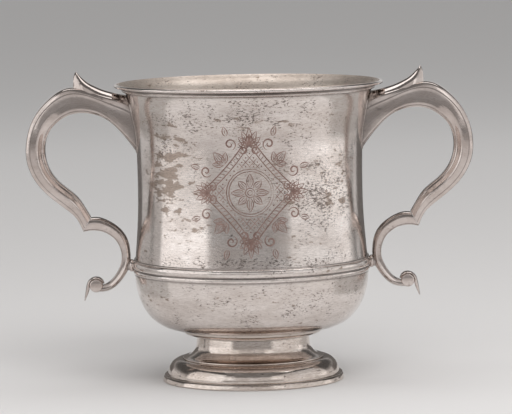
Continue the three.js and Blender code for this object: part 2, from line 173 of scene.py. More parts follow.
def mesh_piece(name, vertices, faces, smooth_angle=35, dirt_and_shade=None):
    """A new object at the origin from vertices in millimetres and faces of equal corners.

    Doubled points are merged, faces turned outwards, and edges over the smooth angle kept crisp.
    """
    vertices = np.asarray(vertices, float)
    faces = np.asarray(faces)
    mesh = bpy.data.meshes.new(name)
    mesh.vertices.add(len(vertices))
    mesh.vertices.foreach_set("co", (vertices * MM).astype(np.float32).ravel())
    mesh.loops.add(faces.size)
    mesh.loops.foreach_set("vertex_index", faces.astype(np.int32).ravel())
    mesh.polygons.add(len(faces))
    mesh.polygons.foreach_set("loop_start", np.arange(0, faces.size, faces.shape[1], dtype=np.int32))
    mesh.update(calc_edges=True)
    store(mesh, "dirt_and_shade", joint_dirt_and_underside_shade(*vertices.T) if dirt_and_shade is None else dirt_and_shade)
    work = bmesh.new()
    work.from_mesh(mesh)
    bmesh.ops.remove_doubles(work, verts=work.verts, dist=MERGE_WITHIN)
    bmesh.ops.recalc_face_normals(work, faces=work.faces)
    work.to_mesh(mesh)
    work.free()
    mesh.shade_smooth()
    mesh.set_sharp_from_angle(angle=math.radians(smooth_angle))
    piece = bpy.data.objects.new(name, mesh)
    bpy.context.scene.collection.objects.link(piece)
    return piece


def grid_faces(rows, columns, wrap=False):
    """Quads of a grid whose point (i, j) is number i * columns + j; wrap joins the last column."""
    i, j = np.meshgrid(np.arange(rows - 1), np.arange(columns - (0 if wrap else 1)), indexing="ij")
    a = i * columns + j
    b = i * columns + (j + 1) % columns
    return np.stack([a, b, b + columns, a + columns], -1).reshape(-1, 4)


def turned_piece(name, profile, facets=192, smooth_angle=35):
    """A profile of (radius, height) turned about Z: each point becomes a ring r cos a, r sin a."""
    profile = np.asarray(profile, float)
    angle = np.linspace(0, 2 * math.pi, facets, endpoint=False)
    radius, height = profile[:, 0, None], profile[:, 1, None]
    rings = np.stack([radius * np.cos(angle), radius * np.sin(angle), height + 0 * angle], -1)
    return mesh_piece(name, rings.reshape(-1, 3), grid_faces(len(profile), facets, wrap=True),
                      smooth_angle)


def capped(name, points, smooth_angle=35, dirt_and_shade=None):
    """A closed piece from rings of points: the grid wraps round and each end closes on its middle."""
    rows, columns = points.shape[:2]
    vertices = np.r_[points.reshape(-1, 3), points[0].mean(0)[None], points[-1].mean(0)[None]]
    around = np.arange(columns)
    after = (around + 1) % columns
    first = np.stack([around, after, np.full(columns, rows * columns)], -1)
    last = np.stack([around, after, np.full(columns, rows * columns + 1)], -1)
    last[:, :2] += (rows - 1) * columns
    body = grid_faces(rows, columns, wrap=True)
    triangles = np.r_[body[:, [0, 1, 2]], body[:, [0, 2, 3]], first, last]
    if dirt_and_shade is not None:
        dirt_and_shade = np.r_[dirt_and_shade.ravel(), dirt_and_shade[0].mean(), dirt_and_shade[-1].mean()]
    return mesh_piece(name, vertices, triangles, smooth_angle, dirt_and_shade)


# Bowl and foot

def underside(squeeze, count):
    """The bowl below its belly: a quarter superellipse, drawn in by a squeeze for the inside."""
    angle = np.linspace(math.pi / 2, 0, count)
    power = 2 / BELLY_SQUARENESS
    across = BELLY_RADIUS - FLAT_RADIUS - squeeze
    drop = BELLY_HEIGHT - BOWL_BASE - squeeze
    return np.c_[FLAT_RADIUS + across * np.cos(angle) ** power,
                 BELLY_HEIGHT - drop * np.sin(angle) ** power]


wall_outside = spline(WALL_LINE, WALL_STEPS)
body_line = np.r_[underside(0, BELLY_FINE_STEPS), wall_outside[1:]]


def body_radius(height):
    """Radius of the bowl's outside at a height, read off its underside and wall."""
    return np.interp(height, body_line[:, 1], body_line[:, 0])


def girdled_radius(height):
    """Radius of the bowl with its girdle on: the wall, or the girdle's half-round where it stands."""
    low, high = GIRDLE_BEAD
    across = 2 * (height - (low + high) / 2) / (high - low)
    swell = (GIRDLE_RADIUS - GIRDLE_ROOT) * np.sqrt(np.clip(1 - across ** 2, 0, 1))
    on_girdle = (height > GIRDLE_BOTTOM) & (height < GIRDLE_TOP)
    return np.where(on_girdle, GIRDLE_ROOT + swell, body_radius(height))


def make_bowl():
    """The raised bowl: flat base, squarish underside, waisted wall and everted lip, one sheet.

    The inside is the outside moved in by the wall, square to its own run.
    """
    flat = np.linspace((0, BOWL_BASE), (FLAT_RADIUS, BOWL_BASE), 6)
    run = np.gradient(wall_outside, axis=0)
    run /= np.linalg.norm(run, axis=1)[:, None]
    inner_wall = wall_outside + BOWL_WALL * np.c_[-run[:, 1], run[:, 0]]
    inner_wall[-1] = (RIM_RADIUS - BOWL_WALL, RIM_HEIGHT)
    floor_inside = np.linspace((FLAT_RADIUS, BOWL_BASE + BOWL_WALL), (0, BOWL_BASE + BOWL_WALL), 6)
    profile = np.r_[flat, underside(0, BELLY_STEPS)[1:], wall_outside[1:], inner_wall[::-1],
                    underside(BOWL_WALL, BELLY_STEPS)[::-1][1:], floor_inside[1:]]
    return turned_piece("bowl_raised", profile, BODY_FACETS)


def half_round(low, high, root, swell, count=13, squareness=2.0):
    """A bead standing off a root radius between two heights: half a superellipse.

    Its points are the swell times the cosine and half the height times the sine of an even
    angle, each to the power 2 / squareness.
    """
    angle = np.radians(np.linspace(-90, 90, count))
    power = 2 / squareness
    reach = np.clip(np.cos(angle), 0, 1) ** power
    rise = np.sign(angle) * np.abs(np.sin(angle)) ** power
    return np.c_[root + swell * reach, (low + high) / 2 + (high - low) / 2 * rise]


def make_lip():
    """The moulding under the lip: a small bead on the wall, a hollow and the rounded edge."""
    height = np.linspace(LIP_ROOT_HEIGHT, LIP_ROOT_HEIGHT + LIP_BEAD_HEIGHT, 13)
    swell = LIP_BEAD_STAND + LIP_BEAD_SWELL * np.sin(np.linspace(0, math.pi, 13))
    bead = np.c_[body_radius(height) + swell, height]
    edge_foot = RIM_HEIGHT - LIP_EDGE_HEIGHT
    deepest = (RIM_RADIUS - LIP_HOLLOW[0], edge_foot - LIP_HOLLOW[1])
    hollow = spline([bead[-1], deepest, (RIM_RADIUS, edge_foot)], 9)
    edge = half_round(edge_foot, RIM_HEIGHT, RIM_RADIUS, LIP_EDGE_RADIUS - RIM_RADIUS, 17)
    back_height = np.linspace(RIM_HEIGHT - LIP_SEAT, LIP_ROOT_HEIGHT, 12)
    back = np.c_[body_radius(back_height) - LIP_SEAT, back_height]
    return turned_piece("lip_moulding", np.r_[bead, hollow[1:-1], edge, back, bead[:1]], BODY_FACETS)


def make_girdle():
    """The girdle: a lower bead, a quirk, the main half-round and a thin fillet above it."""
    lower = half_round(GIRDLE_BOTTOM, GIRDLE_LOWER_TOP, GIRDLE_ROOT, GIRDLE_LOWER_SWELL)
    main = half_round(*GIRDLE_BEAD, GIRDLE_ROOT, GIRDLE_RADIUS - GIRDLE_ROOT, 21)
    fillet = np.add(GIRDLE_FILLET, (GIRDLE_ROOT, GIRDLE_TOP))
    seat = [(GIRDLE_SEAT, GIRDLE_TOP), (GIRDLE_SEAT, GIRDLE_BOTTOM)]
    return turned_piece("girdle_moulding", np.r_[lower, main, fillet, seat, lower[:1]], BODY_FACETS)


def make_collar():
    """The collar: a narrow edge under the bowl and a quarter ellipse that draws in to the neck."""
    centre = (NECK_RADIUS + COLLAR_LEDGE, BOWL_BASE - COLLAR_EDGE)
    round_part = arc(centre, (COLLAR_RADIUS - centre[0], centre[1] - COLLAR_BASE), 270, 360, 25)
    loop = np.r_[[(NECK_BORE, COLLAR_BASE)], round_part, [(COLLAR_RADIUS, BOWL_BASE)],
                 [(NECK_BORE, BOWL_BASE), (NECK_BORE, COLLAR_BASE)]]
    return turned_piece("foot_collar_ring", loop)


def make_neck():
    """The neck: a throat that tapers up a little and flares down to the step's rounded edge."""
    centre = (NECK_RADIUS + NECK_FLARE[0], NECK_BASE + 2 * STEP_ROUND + NECK_FLARE[1])
    low = NECK_BASE - SEAT_RISE
    top = low + STEP_THICKNESS
    flare = spline([(STEP_RADIUS - STEP_ROUND, top), *NECK_LINE, (NECK_RADIUS, COLLAR_BASE)], 49)
    inside = arc(centre, np.add(NECK_FLARE, FOOT_WALL), *NECK_INSIDE_ARC, 25)
    edge = half_round(low, top, STEP_RADIUS - STEP_ROUND, STEP_ROUND, squareness=3.0)
    loop = np.r_[edge, flare[1:], [(NECK_BORE, COLLAR_BASE)], inside, edge[:1]]
    return turned_piece("foot_neck_flare", loop)


def make_dome():
    """The dome: a seat for the neck, a shoulder that rounds over and a flange on the wire."""
    crown = NECK_BASE - SEAT_RISE
    flange = FOOT_WIRE_HEIGHT + FLANGE_THICKNESS
    base = flange + FLANGE_FILLET
    radii = (DOME_RADIUS - CROWN_RADIUS, crown - base)
    inner = (radii[0] - FOOT_WALL, radii[1] - FOOT_WALL)
    shoulder = arc((CROWN_RADIUS, base), radii, 90, 0, 33)
    fillet = arc((DOME_RADIUS + FLANGE_FILLET, base), (FLANGE_FILLET, FLANGE_FILLET), 180, 270, 9)
    edge = arc((FLANGE_RADIUS - FLANGE_ROUND, flange - FLANGE_ROUND), (FLANGE_ROUND, FLANGE_ROUND), 90, 0, 6)
    inside = arc((CROWN_RADIUS, base), inner, 0, 90, 25)
    seat = [(STEP_RADIUS + SEAT_MARGIN, crown)]
    loop = np.r_[seat, shoulder, fillet[1:], edge,
                 [(FLANGE_RADIUS, FOOT_WIRE_HEIGHT), (CROWN_RADIUS + inner[0], FOOT_WIRE_HEIGHT)],
                 inside, [(SEAT_BORE, crown - FOOT_WALL), (SEAT_BORE, crown)], seat]
    return turned_piece("foot_dome_shell", loop)


def make_foot_wire():
    """The base wire: a rounded edge that leans in a little, on a flat underside."""
    face = spline(FOOT_WIRE_LINE, 25)
    bore = [(FOOT_WIRE_BORE, 0)]
    loop = np.r_[bore, face, [(FOOT_WIRE_BORE, FOOT_WIRE_HEIGHT)], bore]
    return turned_piece("foot_base_wire", loop)


# Handles, drawn out from the girdle's edge and up from the girdle's middle:
# outer edge, inner edge and half the width at each station

UPPER_SCROLL = [
    (-10, 81, -14, 45, 9.2), (1, 91, -3.6, 62.8, 8.7), (9.8, 93.4, 2.7, 71.2, 8.1),
    (18.2, 95.6, 10, 78.8, 7.6), (27, 98.1, 19.5, 83.6, 7.3), (36.2, 97.6, 30.5, 84, 7),
    (45.4, 91.4, 38.4, 80.3, 6.8), (53, 81.8, 44.1, 74.3, 6.5), (57.04, 69.5, 46.7, 66.4, 6.3),
    (56.85, 56.5, 46.2, 58.2, 6.1), (52.2, 46.2, 43.6, 51.6, 5.9), (43.4, 36.8, 37.4, 44.6, 5.6),
    (34.6, 29.9, 29.4, 37.6, 5.2), (29.6, 24.6, 25, 31, 4.7), (26.9, 18.7, 22.4, 26.6, 4.4)]
LOWER_SCROLL = [
    (22.3, 26.4, 26.8, 18.5, 4.4), (19.4, 26.5, 22.5, 19.1, 4.1), (15.6, 25.7, 17.6, 18.7, 3.9),
    (11.6, 23.8, 14.4, 17.6, 3.7), (7.8, 21.2, 11.3, 15.6, 3.6), (4.3, 17.5, 8.7, 13, 3.5),
    (1.9, 12.2, 6.9, 9.6, 3.4), (1, 6.2, 5.9, 5.6, 3.4), (1.2, 0.6, 6.2, 1, 3.4),
    (3, -4.4, 7.9, -3.2, 3.4), (5.9, -8.7, 10.3, -6.9, 3.4), (9.4, -12.3, 13, -9.6, 3.3),
    (13.8, -14.7, 15.6, -11, 3.2), (18.8, -15.2, 18.2, -11.6, 3)]
LEAF_SPUR = [
    (-1.5, 93.5, -1.5, 81, 8.3), (4.5, 94.1, 4.5, 82.5, 8), (9.4, 95.4, 9.8, 84.2, 7.7),
    (14, 96.8, 14.8, 86.2, 7.4), (18.5, 98.8, 20.6, 88.8, 7.1), (22, 100.7, 26.4, 92.2, 6.4),
    (24.8, 102.9, 30.3, 96.3, 4.7), (26.8, 104.8, 30.4, 100.8, 3.1), (28.1, 106.2, 30.2, 104.2, 2),
    (28.8, 107, 29.4, 106.6, 0.6)]
LEAF_TAIL = [
    (15.8, -10.3, 16.6, -10.5, 2.3), (17.1, -7.8, 17.9, -8.8, 2.7), (19.4, -6.7, 19.7, -7.9, 2.9),
    (22, -6.9, 21.6, -8.1, 2.9), (24.2, -8.4, 23.2, -9.2, 2.8), (25.5, -10.8, 24, -11.1, 2.6),
    (26.1, -13.4, 24, -13.3, 2.2), (26.6, -16.4, 25, -16.4, 1.5), (27.1, -20, 26.6, -20.1, 0.5)]
BULB_CENTRE = (20.3, -11.6)
BULB_RADIUS = 3.7
BULB_HALF_WIDTH = 3.1
BULB_BEVEL = 0.9
BULB_CROWN_EDGE = 0.12
BULB_CROWN = 0.16
PLUG_OUT = 0.5
PLUG_DROP = 0.8
PLUG_REACH = 2.6
PLUG_STEM = 2.8
PLUG_SWELL = 0.7

# Sections from the back to the inner edge: share of the thickness, then share of the half width
# near the bowl, where the flank is full and round, and past the crook, where it has an arris
UPPER_SECTION = [
    (0, 0, 0), (0.006, 0.3, 0.3), (0.02, 0.56, 0.55), (0.038, 0.73, 0.71), (0.06, 0.81, 0.79),
    (0.1, 0.85, 0.828), (0.15, 0.882, 0.857), (0.2, 0.912, 0.884), (0.235, 0.916, 0.886),
    (0.27, 0.932, 0.9), (0.36, 0.956, 0.935), (0.46, 0.97, 0.972), (0.53, 0.978, 0.997),
    (0.555, 0.981, 1), (0.58, 0.984, 0.99), (0.61, 0.986, 0.965), (0.65, 0.99, 0.93),
    (0.7, 0.993, 0.862), (0.76, 0.997, 0.772), (0.8, 1, 0.714), (0.84, 1, 0.662),
    (0.885, 0.985, 0.62), (0.905, 0.955, 0.598), (0.93, 0.965, 0.62), (0.97, 0.9, 0.56),
    (1, 0.7, 0.43), (1, 0, 0)]
LOWER_SECTION = [
    (0, 0, 0), (0.02, 0.3, 0.3), (0.08, 0.58, 0.58), (0.18, 0.8, 0.8), (0.24, 0.83, 0.83),
    (0.3, 0.9, 0.9), (0.38, 0.99, 0.99), (0.42, 1, 1), (0.5, 0.93, 0.93), (0.7, 0.84, 0.84),
    (0.9, 0.8, 0.8), (0.97, 0.7, 0.7), (1, 0.5, 0.5), (1, 0, 0)]
SPUR_SECTION = [
    (0, 0, 0), (0.01, 0.2, 0.3), (0.035, 0.38, 0.55), (0.08, 0.54, 0.76), (0.15, 0.68, 0.9),
    (0.28, 0.79, 0.98), (0.45, 0.86, 1), (0.62, 0.9, 0.96), (0.82, 0.925, 0.88), (1, 0.935, 0.7), (1, 0, 0)]
TAIL_SECTION = [
    (0, 0, 0), (0.05, 0.34, 0.34), (0.16, 0.68, 0.68), (0.32, 0.92, 0.92), (0.5, 1, 1),
    (0.8, 0.92, 0.92), (0.96, 0.8, 0.8), (1, 0.6, 0.6), (1, 0, 0)]
SECTION_FILL = 3
SCROLL_STATIONS = 240
LEAF_STATIONS = 110
LOWER_STATIONS = 150
TAIL_STATIONS = 90
# Where the first section turns into the second, as shares of the length: the scroll's arris
# starts and runs, and the leaf's curl starts and ends
ARRIS_START, ARRIS_RUN = 0.44, 0.18
LEAF_CURL = (0.45, 0.8)
# How deep the roots stand in the bowl
SCROLL_ROOT = 0.5
LEAF_ROOT = 0.4
SEAM_GAP = 0.02
SOLDER_RADIUS = 0.5

# Dirt on the handles, and painted shade round their roots: the shares of the section where the dirt lies, how
# wide, and how much
CREASE_SHARE = 0.235
BORDER_SHARE = 0.905
SCROLL_CREASE = 0.018
LEAF_CREASE = 0.01
LOWER_CREASE = 0.03
CREASE_DIRT = 0.55
ROOT_DIRT_WIDTH = 0.9
# Painted shade round the root: how far it reaches and how dark
ROOT_SHADE_WIDTH = 5
ROOT_SHADE = 0.35
SOLDER_DIRT = 0.35
PLUG_DIRT = 0.8


def stations(table, count):
    """Rails and half width of a drawn piece, evenly resampled along one spline of all five."""
    rails = spline(table, count)
    rails[:, [0, 2]] += GIRDLE_RADIUS
    rails[:, [1, 3]] += GIRDLE_HEIGHT
    return rails


def lofted(rails, section, side, change):
    """Points of a drawn piece: at each station its two edges blended by the section's share,
    and half the width times the section's width, which goes from the first shape to the second
    by the change along the piece. Each span of the section is cut into SECTION_FILL parts.
    """
    section = np.asarray(section, float)
    at = np.linspace(0, len(section) - 1, (len(section) - 1) * SECTION_FILL + 1)
    share, first, second = (np.interp(at, np.arange(len(section)), column) for column in section.T)
    width = first + (second - first) * change[:, None]
    x = rails[:, 0, None] * (1 - share) + rails[:, 2, None] * share
    z = rails[:, 1, None] * (1 - share) + rails[:, 3, None] * share
    return np.stack([x, side * rails[:, 4, None] * width, z], -1), share


def rooted(points, depth):
    """Long lines of a loft cut where each comes out of the body, less a depth, and evenly spread
    from there. The cut lies between two rows, in the share of their distances to the body.
    """
    rows = len(points)
    out = np.hypot(points[..., 0], points[..., 1]) - girdled_radius(points[..., 2]) + depth
    inside = out < 0
    last = rows - 1 - np.argmax(inside[::-1], 0)
    column = np.arange(points.shape[1])
    following = np.minimum(last + 1, rows - 1)
    before, after = out[last, column], out[following, column]
    cut = np.where(inside.any(0), last + before / np.minimum(before - after, -TINY), 0)
    at = cut + np.linspace(0, 1, rows)[:, None] * (rows - 1 - cut)
    low = np.clip(np.floor(at).astype(int), 0, rows - 2)
    part = (at - low)[..., None]
    return points[low, column] * (1 - part) + points[low + 1, column] * part


def on_hand(points, turn):
    """Points of the right handle kept, or turned half way round Z for the left one."""
    return points * np.array([turn, turn, 1])


def crease_dirt_and_root_shade(points, share, crease_width):
    """Dirt on a handle: bell curves about the crease and the border and at its joint with the bowl, and a
    wider bell of painted shade round the root.
    """
    off_body = np.hypot(points[..., 0], points[..., 1]) - girdled_radius(points[..., 2])
    in_crease = np.exp(-((share - CREASE_SHARE) / crease_width) ** 2)
    in_border = np.exp(-((share - BORDER_SHARE) / crease_width) ** 2)
    at_root = np.exp(-(off_body / ROOT_DIRT_WIDTH) ** 2)
    # Painted shade: a wide bell that darkens the handle within a few millimetres of the bowl
    painted_root_shade = ROOT_SHADE * np.exp(-(off_body / ROOT_SHADE_WIDTH) ** 2)
    return np.maximum(CREASE_DIRT * np.maximum(in_crease, in_border), np.maximum(at_root, painted_root_shade))


def half_shell(name, turn, side):
    """One half of the upper scroll, flat on the handle's middle plane, rooted in the wall."""
    rails = stations(UPPER_SCROLL, SCROLL_STATIONS)
    way = np.linspace(0, 1, SCROLL_STATIONS)
    change = np.clip((way - ARRIS_START) / ARRIS_RUN, 0, 1)
    points, share = lofted(rails, UPPER_SECTION, side, change * change * (3 - 2 * change))
    points = rooted(points, SCROLL_ROOT)
    dirt_and_shade = crease_dirt_and_root_shade(points, share, SCROLL_CREASE)
    points[..., 1] += side * SEAM_GAP
    return capped(name, on_hand(points, turn), smooth_angle=24, dirt_and_shade=dirt_and_shade)


def whole_loft(name, table, section, turn, count, crease_width=LEAF_CREASE, root=False, way=None):
    """A solid drawn piece with both its sides, in its place on the right or left handle.

    A piece with a root is cut at the body. A way is where its section changes, as shares of
    its length.
    """
    rails = stations(table, count)
    change = np.zeros(count) if way is None else np.clip(
        (np.linspace(0, 1, count) - way[0]) / (way[1] - way[0]), 0, 1)
    front, share = lofted(rails, section, -1, change)
    back = lofted(rails, section, 1, change)[0]
    points = np.concatenate([front, back[:, -2:0:-1]], 1)
    share = np.r_[share, share[-2:0:-1]]
    if root:
        points = rooted(points, LEAF_ROOT)
    dirt_and_shade = crease_dirt_and_root_shade(points, share, crease_width)
    return capped(name, on_hand(points, turn), smooth_angle=26, dirt_and_shade=dirt_and_shade)


def solder_line(name, turn):
    """The solder that runs round the handle's root: a thin tube along the line of the join.

    The line is where the upper scroll's sides come out of the wall, and the tube's rings are
    circles across it, set out from the wall's own outward direction.
    """
    rails = stations(UPPER_SCROLL, SCROLL_STATIONS)
    sides = [lofted(rails, UPPER_SECTION, side, np.zeros(SCROLL_STATIONS))[0] for side in (-1, 1)]
    points = np.concatenate([sides[0], sides[1][:, -2:0:-1]], 1)
    join = rooted(points, 0.0)[0]
    closed = np.r_[join[-1:], join, join[:1]]
    run = closed[2:] - closed[:-2]
    run /= np.linalg.norm(run, axis=1)[:, None]
    outward = join * (1, 1, 0)
    outward /= np.linalg.norm(outward, axis=1)[:, None]
    sideways = np.cross(run, outward)
    angle = np.linspace(0, 2 * math.pi, 9)[:-1]
    ring = (np.cos(angle)[None, :, None] * outward[:, None] * SOLDER_RADIUS
            + np.sin(angle)[None, :, None] * sideways[:, None] * SOLDER_RADIUS)
    tube = on_hand(join[:, None] + ring, turn).reshape(-1, 3)
    faces = grid_faces(len(join) + 1, len(angle), wrap=True) % len(tube)
    return mesh_piece(name, tube, faces, smooth_angle=60, dirt_and_shade=np.full(len(tube), SOLDER_DIRT))


def bulb_piece(name, turn, facets=64):
    """The round end of the scroll: a button whose edge and crown are turned about an axis along Y."""
    corner = (BULB_RADIUS - BULB_BEVEL, BULB_HALF_WIDTH - BULB_BEVEL)
    edge = arc(corner, (BULB_BEVEL, BULB_BEVEL), 0, 90, 9)
    crown = [(BULB_RADIUS / 2, BULB_HALF_WIDTH + BULB_CROWN_EDGE), (0, BULB_HALF_WIDTH + BULB_CROWN)]
    side = np.r_[edge, crown]
    profile = np.r_[side[::-1] * (1, -1), side]
    angle = np.linspace(0, 2 * math.pi, facets, endpoint=False)
    x = GIRDLE_RADIUS + BULB_CENTRE[0] + profile[:, 0, None] * np.cos(angle)
    z = GIRDLE_HEIGHT + BULB_CENTRE[1] + profile[:, 0, None] * np.sin(angle)
    points = on_hand(np.stack([x, profile[:, 1, None] + 0 * angle, z], -1), turn)
    return mesh_piece(name, points.reshape(-1, 3), grid_faces(len(profile), facets, wrap=True))


def plug_piece(name, turn, facets=48):
    """The stub between scroll and girdle: a stem and its bead, turned about an axis along X."""
    bead = arc((0, PLUG_STEM), (1, PLUG_SWELL), 180, 0, 13)
    profile = np.r_[[(-PLUG_REACH, PLUG_STEM)], bead, [(PLUG_REACH, PLUG_STEM)]]
    angle = np.linspace(0, 2 * math.pi, facets, endpoint=False)
    x = GIRDLE_RADIUS + PLUG_OUT + profile[:, 0, None] + 0 * angle
    y = profile[:, 1, None] * np.cos(angle)
    z = GIRDLE_HEIGHT - PLUG_DROP + profile[:, 1, None] * np.sin(angle)
    off_bead = np.abs(profile[:, 0, None]) / PLUG_REACH + 0 * angle
    return capped(name, on_hand(np.stack([x, y, z], -1), turn), dirt_and_shade=PLUG_DIRT * off_bead ** 2)


# Ornament engraved on the front: strokes in millimetres, across and up from its middle

ORNAMENT_HEIGHT = 109.0
ORNAMENT_RADIUS = 62.0
LOZENGE_HALF = np.array([28.5, 32.0])
LOZENGE_BAND = 0.84
LOZENGE_HOLLOW = 2.35
LOZENGE_ENDS = (0.02, 0.98)
BAND_TICKS = np.linspace(0.1, 0.9, 23)
TICK_SLANT = 0.02
LINE_WIDTH = 0.7
BOLD = 1.3
FINE_WIDTH = 0.45
LEAF_SKEW = 0.8
VEIN_START, VEIN_RUN = 0.12, 0.68
# Leaves of a quarter: place as a share of the side's middle, degrees, length, half width, veins.
# Those on a side turn from the quarter's diagonal, those at the tips from level.
SIDE_LEAVES = [(1.06, 0, 9.5, 2.3, 3), (1.1, 52, 6.6, 1.6, 2), (1.1, -52, 6.6, 1.6, 2)]
TIP_LEAVES = [((2.2, 0.95), 12, 5.6, 1.3, 1), ((0.98, 2.15), 78, 5.6, 1.3, 1)]
# Curls of a quarter: place, degrees from the diagonal, and the hand they turn
QUARTER_CURLS = [((1.9, 0.82), 150, 1), ((0.82, 1.85), -150, -1)]
CURL_RADIUS = 3.4
CURL_TURNS = 1.4
CURL_CLOSING = 0.86
CURL_BOLD = 1.5
PALMETTE_SIZE = 10.6
PALMETTE_PLACE = 0.78
PALMETTE_FAN = 25
# The palmette's leaves and curls, as shares of its size
LOBE_LOSS = 0.13
LOBE_HALF = 0.14
LOBE_CURL_PLACE = (-0.16, 0.3)
LOBE_CURL_RADIUS = 0.24
LOBE_CURL_TURNS = 1.2
MEDAL_RADIUS = 11.5
MEDAL_RINGS = (1.3, 2.5, MEDAL_RADIUS, MEDAL_RADIUS + 1.3)
PETALS = 8
PETAL_BASE = 2.9
PETAL_LENGTHS = (7.6, 6.2)
PETAL_HALF = 1.7
FIELD_SHARE = 0.94
FIELD_MARGIN = 2
TRELLIS_STEP = 4.2
TRELLIS_REACH = 30
TRELLIS_ROWS = np.arange(-8, 9)
TRELLIS_LEVELS = np.arange(-12, 13)
TRELLIS_POINTS = 200
TRELLIS_FEWEST = 12
DOT_WIDTH = 0.9
DOT_LENGTH = 0.8
CUT_RISE = 0.05
CUT_SINK = 0.012
# The way along every stroke, from its start to its end
WAY = np.linspace(0, 1, 25)


def turned_by(points, degrees):
    """Points turned about the ornament's middle."""
    angle = math.radians(degrees)
    return points @ np.array([[math.cos(angle), math.sin(angle)], [-math.sin(angle), math.cos(angle)]])


def leaf_strokes(base, degrees, length, half, veins):
    """A leaf from its base along a direction: two sides as a skewed sine, and veins between them.

    Along runs from 0 to the length, and across is half the width times the sine of pi times the
    way to the power of the skew. A vein is part of such a side, drawn in by its share.
    """
    side = np.c_[length * WAY, half * np.sin(math.pi * WAY ** LEAF_SKEW)]
    vein = VEIN_START + VEIN_RUN * WAY
    fans = [np.c_[length * vein, share * half * np.sin(math.pi * vein ** LEAF_SKEW)]
            for share in np.linspace(-1, 1, veins + 2)[1:-1]]
    outline = [(side, LINE_WIDTH), (side * (1, -1), LINE_WIDTH)]
    parts = outline + [(fan, FINE_WIDTH) for fan in fans]
    return [(turned_by(points, degrees) + base, width) for points, width in parts]


def curl_stroke(centre, radius, start, turns, hand):
    """A C-scroll: a spiral whose radius falls evenly to a seventh as its angle runs its turns."""
    angle = math.radians(start) + hand * 2 * math.pi * turns * WAY
    reach = radius * (1 - CURL_CLOSING * WAY)
    return np.c_[reach * np.cos(angle), reach * np.sin(angle)] + centre, LINE_WIDTH * CURL_BOLD


def palmette_strokes(base, degrees, size):
    """Seven leaves fanned about a direction, the middle one longest, over two small curls."""
    strokes = []
    for lobe in range(-3, 4):
        length = size * (1 - LOBE_LOSS * abs(lobe))
        strokes += leaf_strokes(base, degrees + PALMETTE_FAN * lobe, length, size * LOBE_HALF, 1)
    back, aside = LOBE_CURL_PLACE
    for hand in (-1, 1):
        centre = base + turned_by(np.array([[back * size, aside * hand * size]]), degrees)[0]
        start = degrees + 90 * hand
        strokes.append(curl_stroke(centre, LOBE_CURL_RADIUS * size, start, LOBE_CURL_TURNS, hand))
    return strokes


def lozenge_line(share, start, end):
    """Part of a hollow-sided lozenge in the first quarter: each half size times a power of the
    cosine or sine, which draws the sides in.
    """
    angle = np.radians(90 * (start + (end - start) * WAY))
    shape = np.c_[np.cos(angle), np.sin(angle)] ** LOZENGE_HOLLOW
    return LOZENGE_HALF * share * shape


def quarter_strokes():
    """What each quarter of the ornament holds, drawn for the upper right one."""
    strokes = [(lozenge_line(1, *LOZENGE_ENDS), LINE_WIDTH * BOLD),
               (lozenge_line(LOZENGE_BAND, *LOZENGE_ENDS), LINE_WIDTH)]
    for at in BAND_TICKS:
        outer = lozenge_line(1, at, at)[0]
        inner = lozenge_line(LOZENGE_BAND, at + TICK_SLANT, at + TICK_SLANT)[0]
        strokes.append((outer + (inner - outer) * WAY[:, None], FINE_WIDTH))
    diagonal = math.degrees(math.atan2(LOZENGE_HALF[1], LOZENGE_HALF[0]))
    side = lozenge_line(1, 0.5, 0.5)[0]
    for place, degrees, *leaf in SIDE_LEAVES:
        strokes += leaf_strokes(side * place, diagonal + degrees, *leaf)
    for place, degrees, hand in QUARTER_CURLS:
        strokes.append(curl_stroke(side * place, CURL_RADIUS, diagonal + degrees, CURL_TURNS, hand))
    for place, degrees, *leaf in TIP_LEAVES:
        strokes += leaf_strokes(side * place, degrees, *leaf)
    return strokes


def in_field(points):
    """Whether points lie in the lozenge's field: inside its band and outside the medal."""
    share = np.abs(points) / (LOZENGE_HALF * LOZENGE_BAND * FIELD_SHARE)
    within = (share ** (2 / LOZENGE_HOLLOW)).sum(-1) < 1
    return within & (np.hypot(points[..., 0], points[..., 1]) > MEDAL_RADIUS + FIELD_MARGIN)


def trellis_strokes():
    """The trellis that fills the field: two sets of slanting lines, each cut to the field, and a
    small dot in each opening.
    """
    slant = LOZENGE_HALF / np.hypot(*LOZENGE_HALF)
    reach = np.linspace(-1, 1, TRELLIS_POINTS)[:, None] * TRELLIS_REACH
    strokes = []
    for mirror in (np.array([1, 1]), np.array([-1, 1])):
        for row in TRELLIS_ROWS:
            line = (slant * reach + np.array([TRELLIS_STEP * row, 0])) * mirror
            edges = np.flatnonzero(np.diff(np.r_[0, in_field(line).astype(int), 0]))
            for first, after in edges.reshape(-1, 2):
                if after - first > TRELLIS_FEWEST:
                    run = line[after - 1] - line[first]
                    strokes.append((line[first] + run * WAY[:, None], FINE_WIDTH))
    i, j = np.meshgrid(TRELLIS_ROWS, TRELLIS_LEVELS)
    rise = TRELLIS_STEP * slant[1] / slant[0]
    dots = np.stack([TRELLIS_STEP * (i + 0.5 * (j % 2) + 0.5), rise * j * 0.5], -1).reshape(-1, 2)
    for dot in dots[in_field(dots)]:
        strokes.append((dot + np.c_[DOT_LENGTH * (WAY - 0.5), 0 * WAY], DOT_WIDTH))
    return strokes


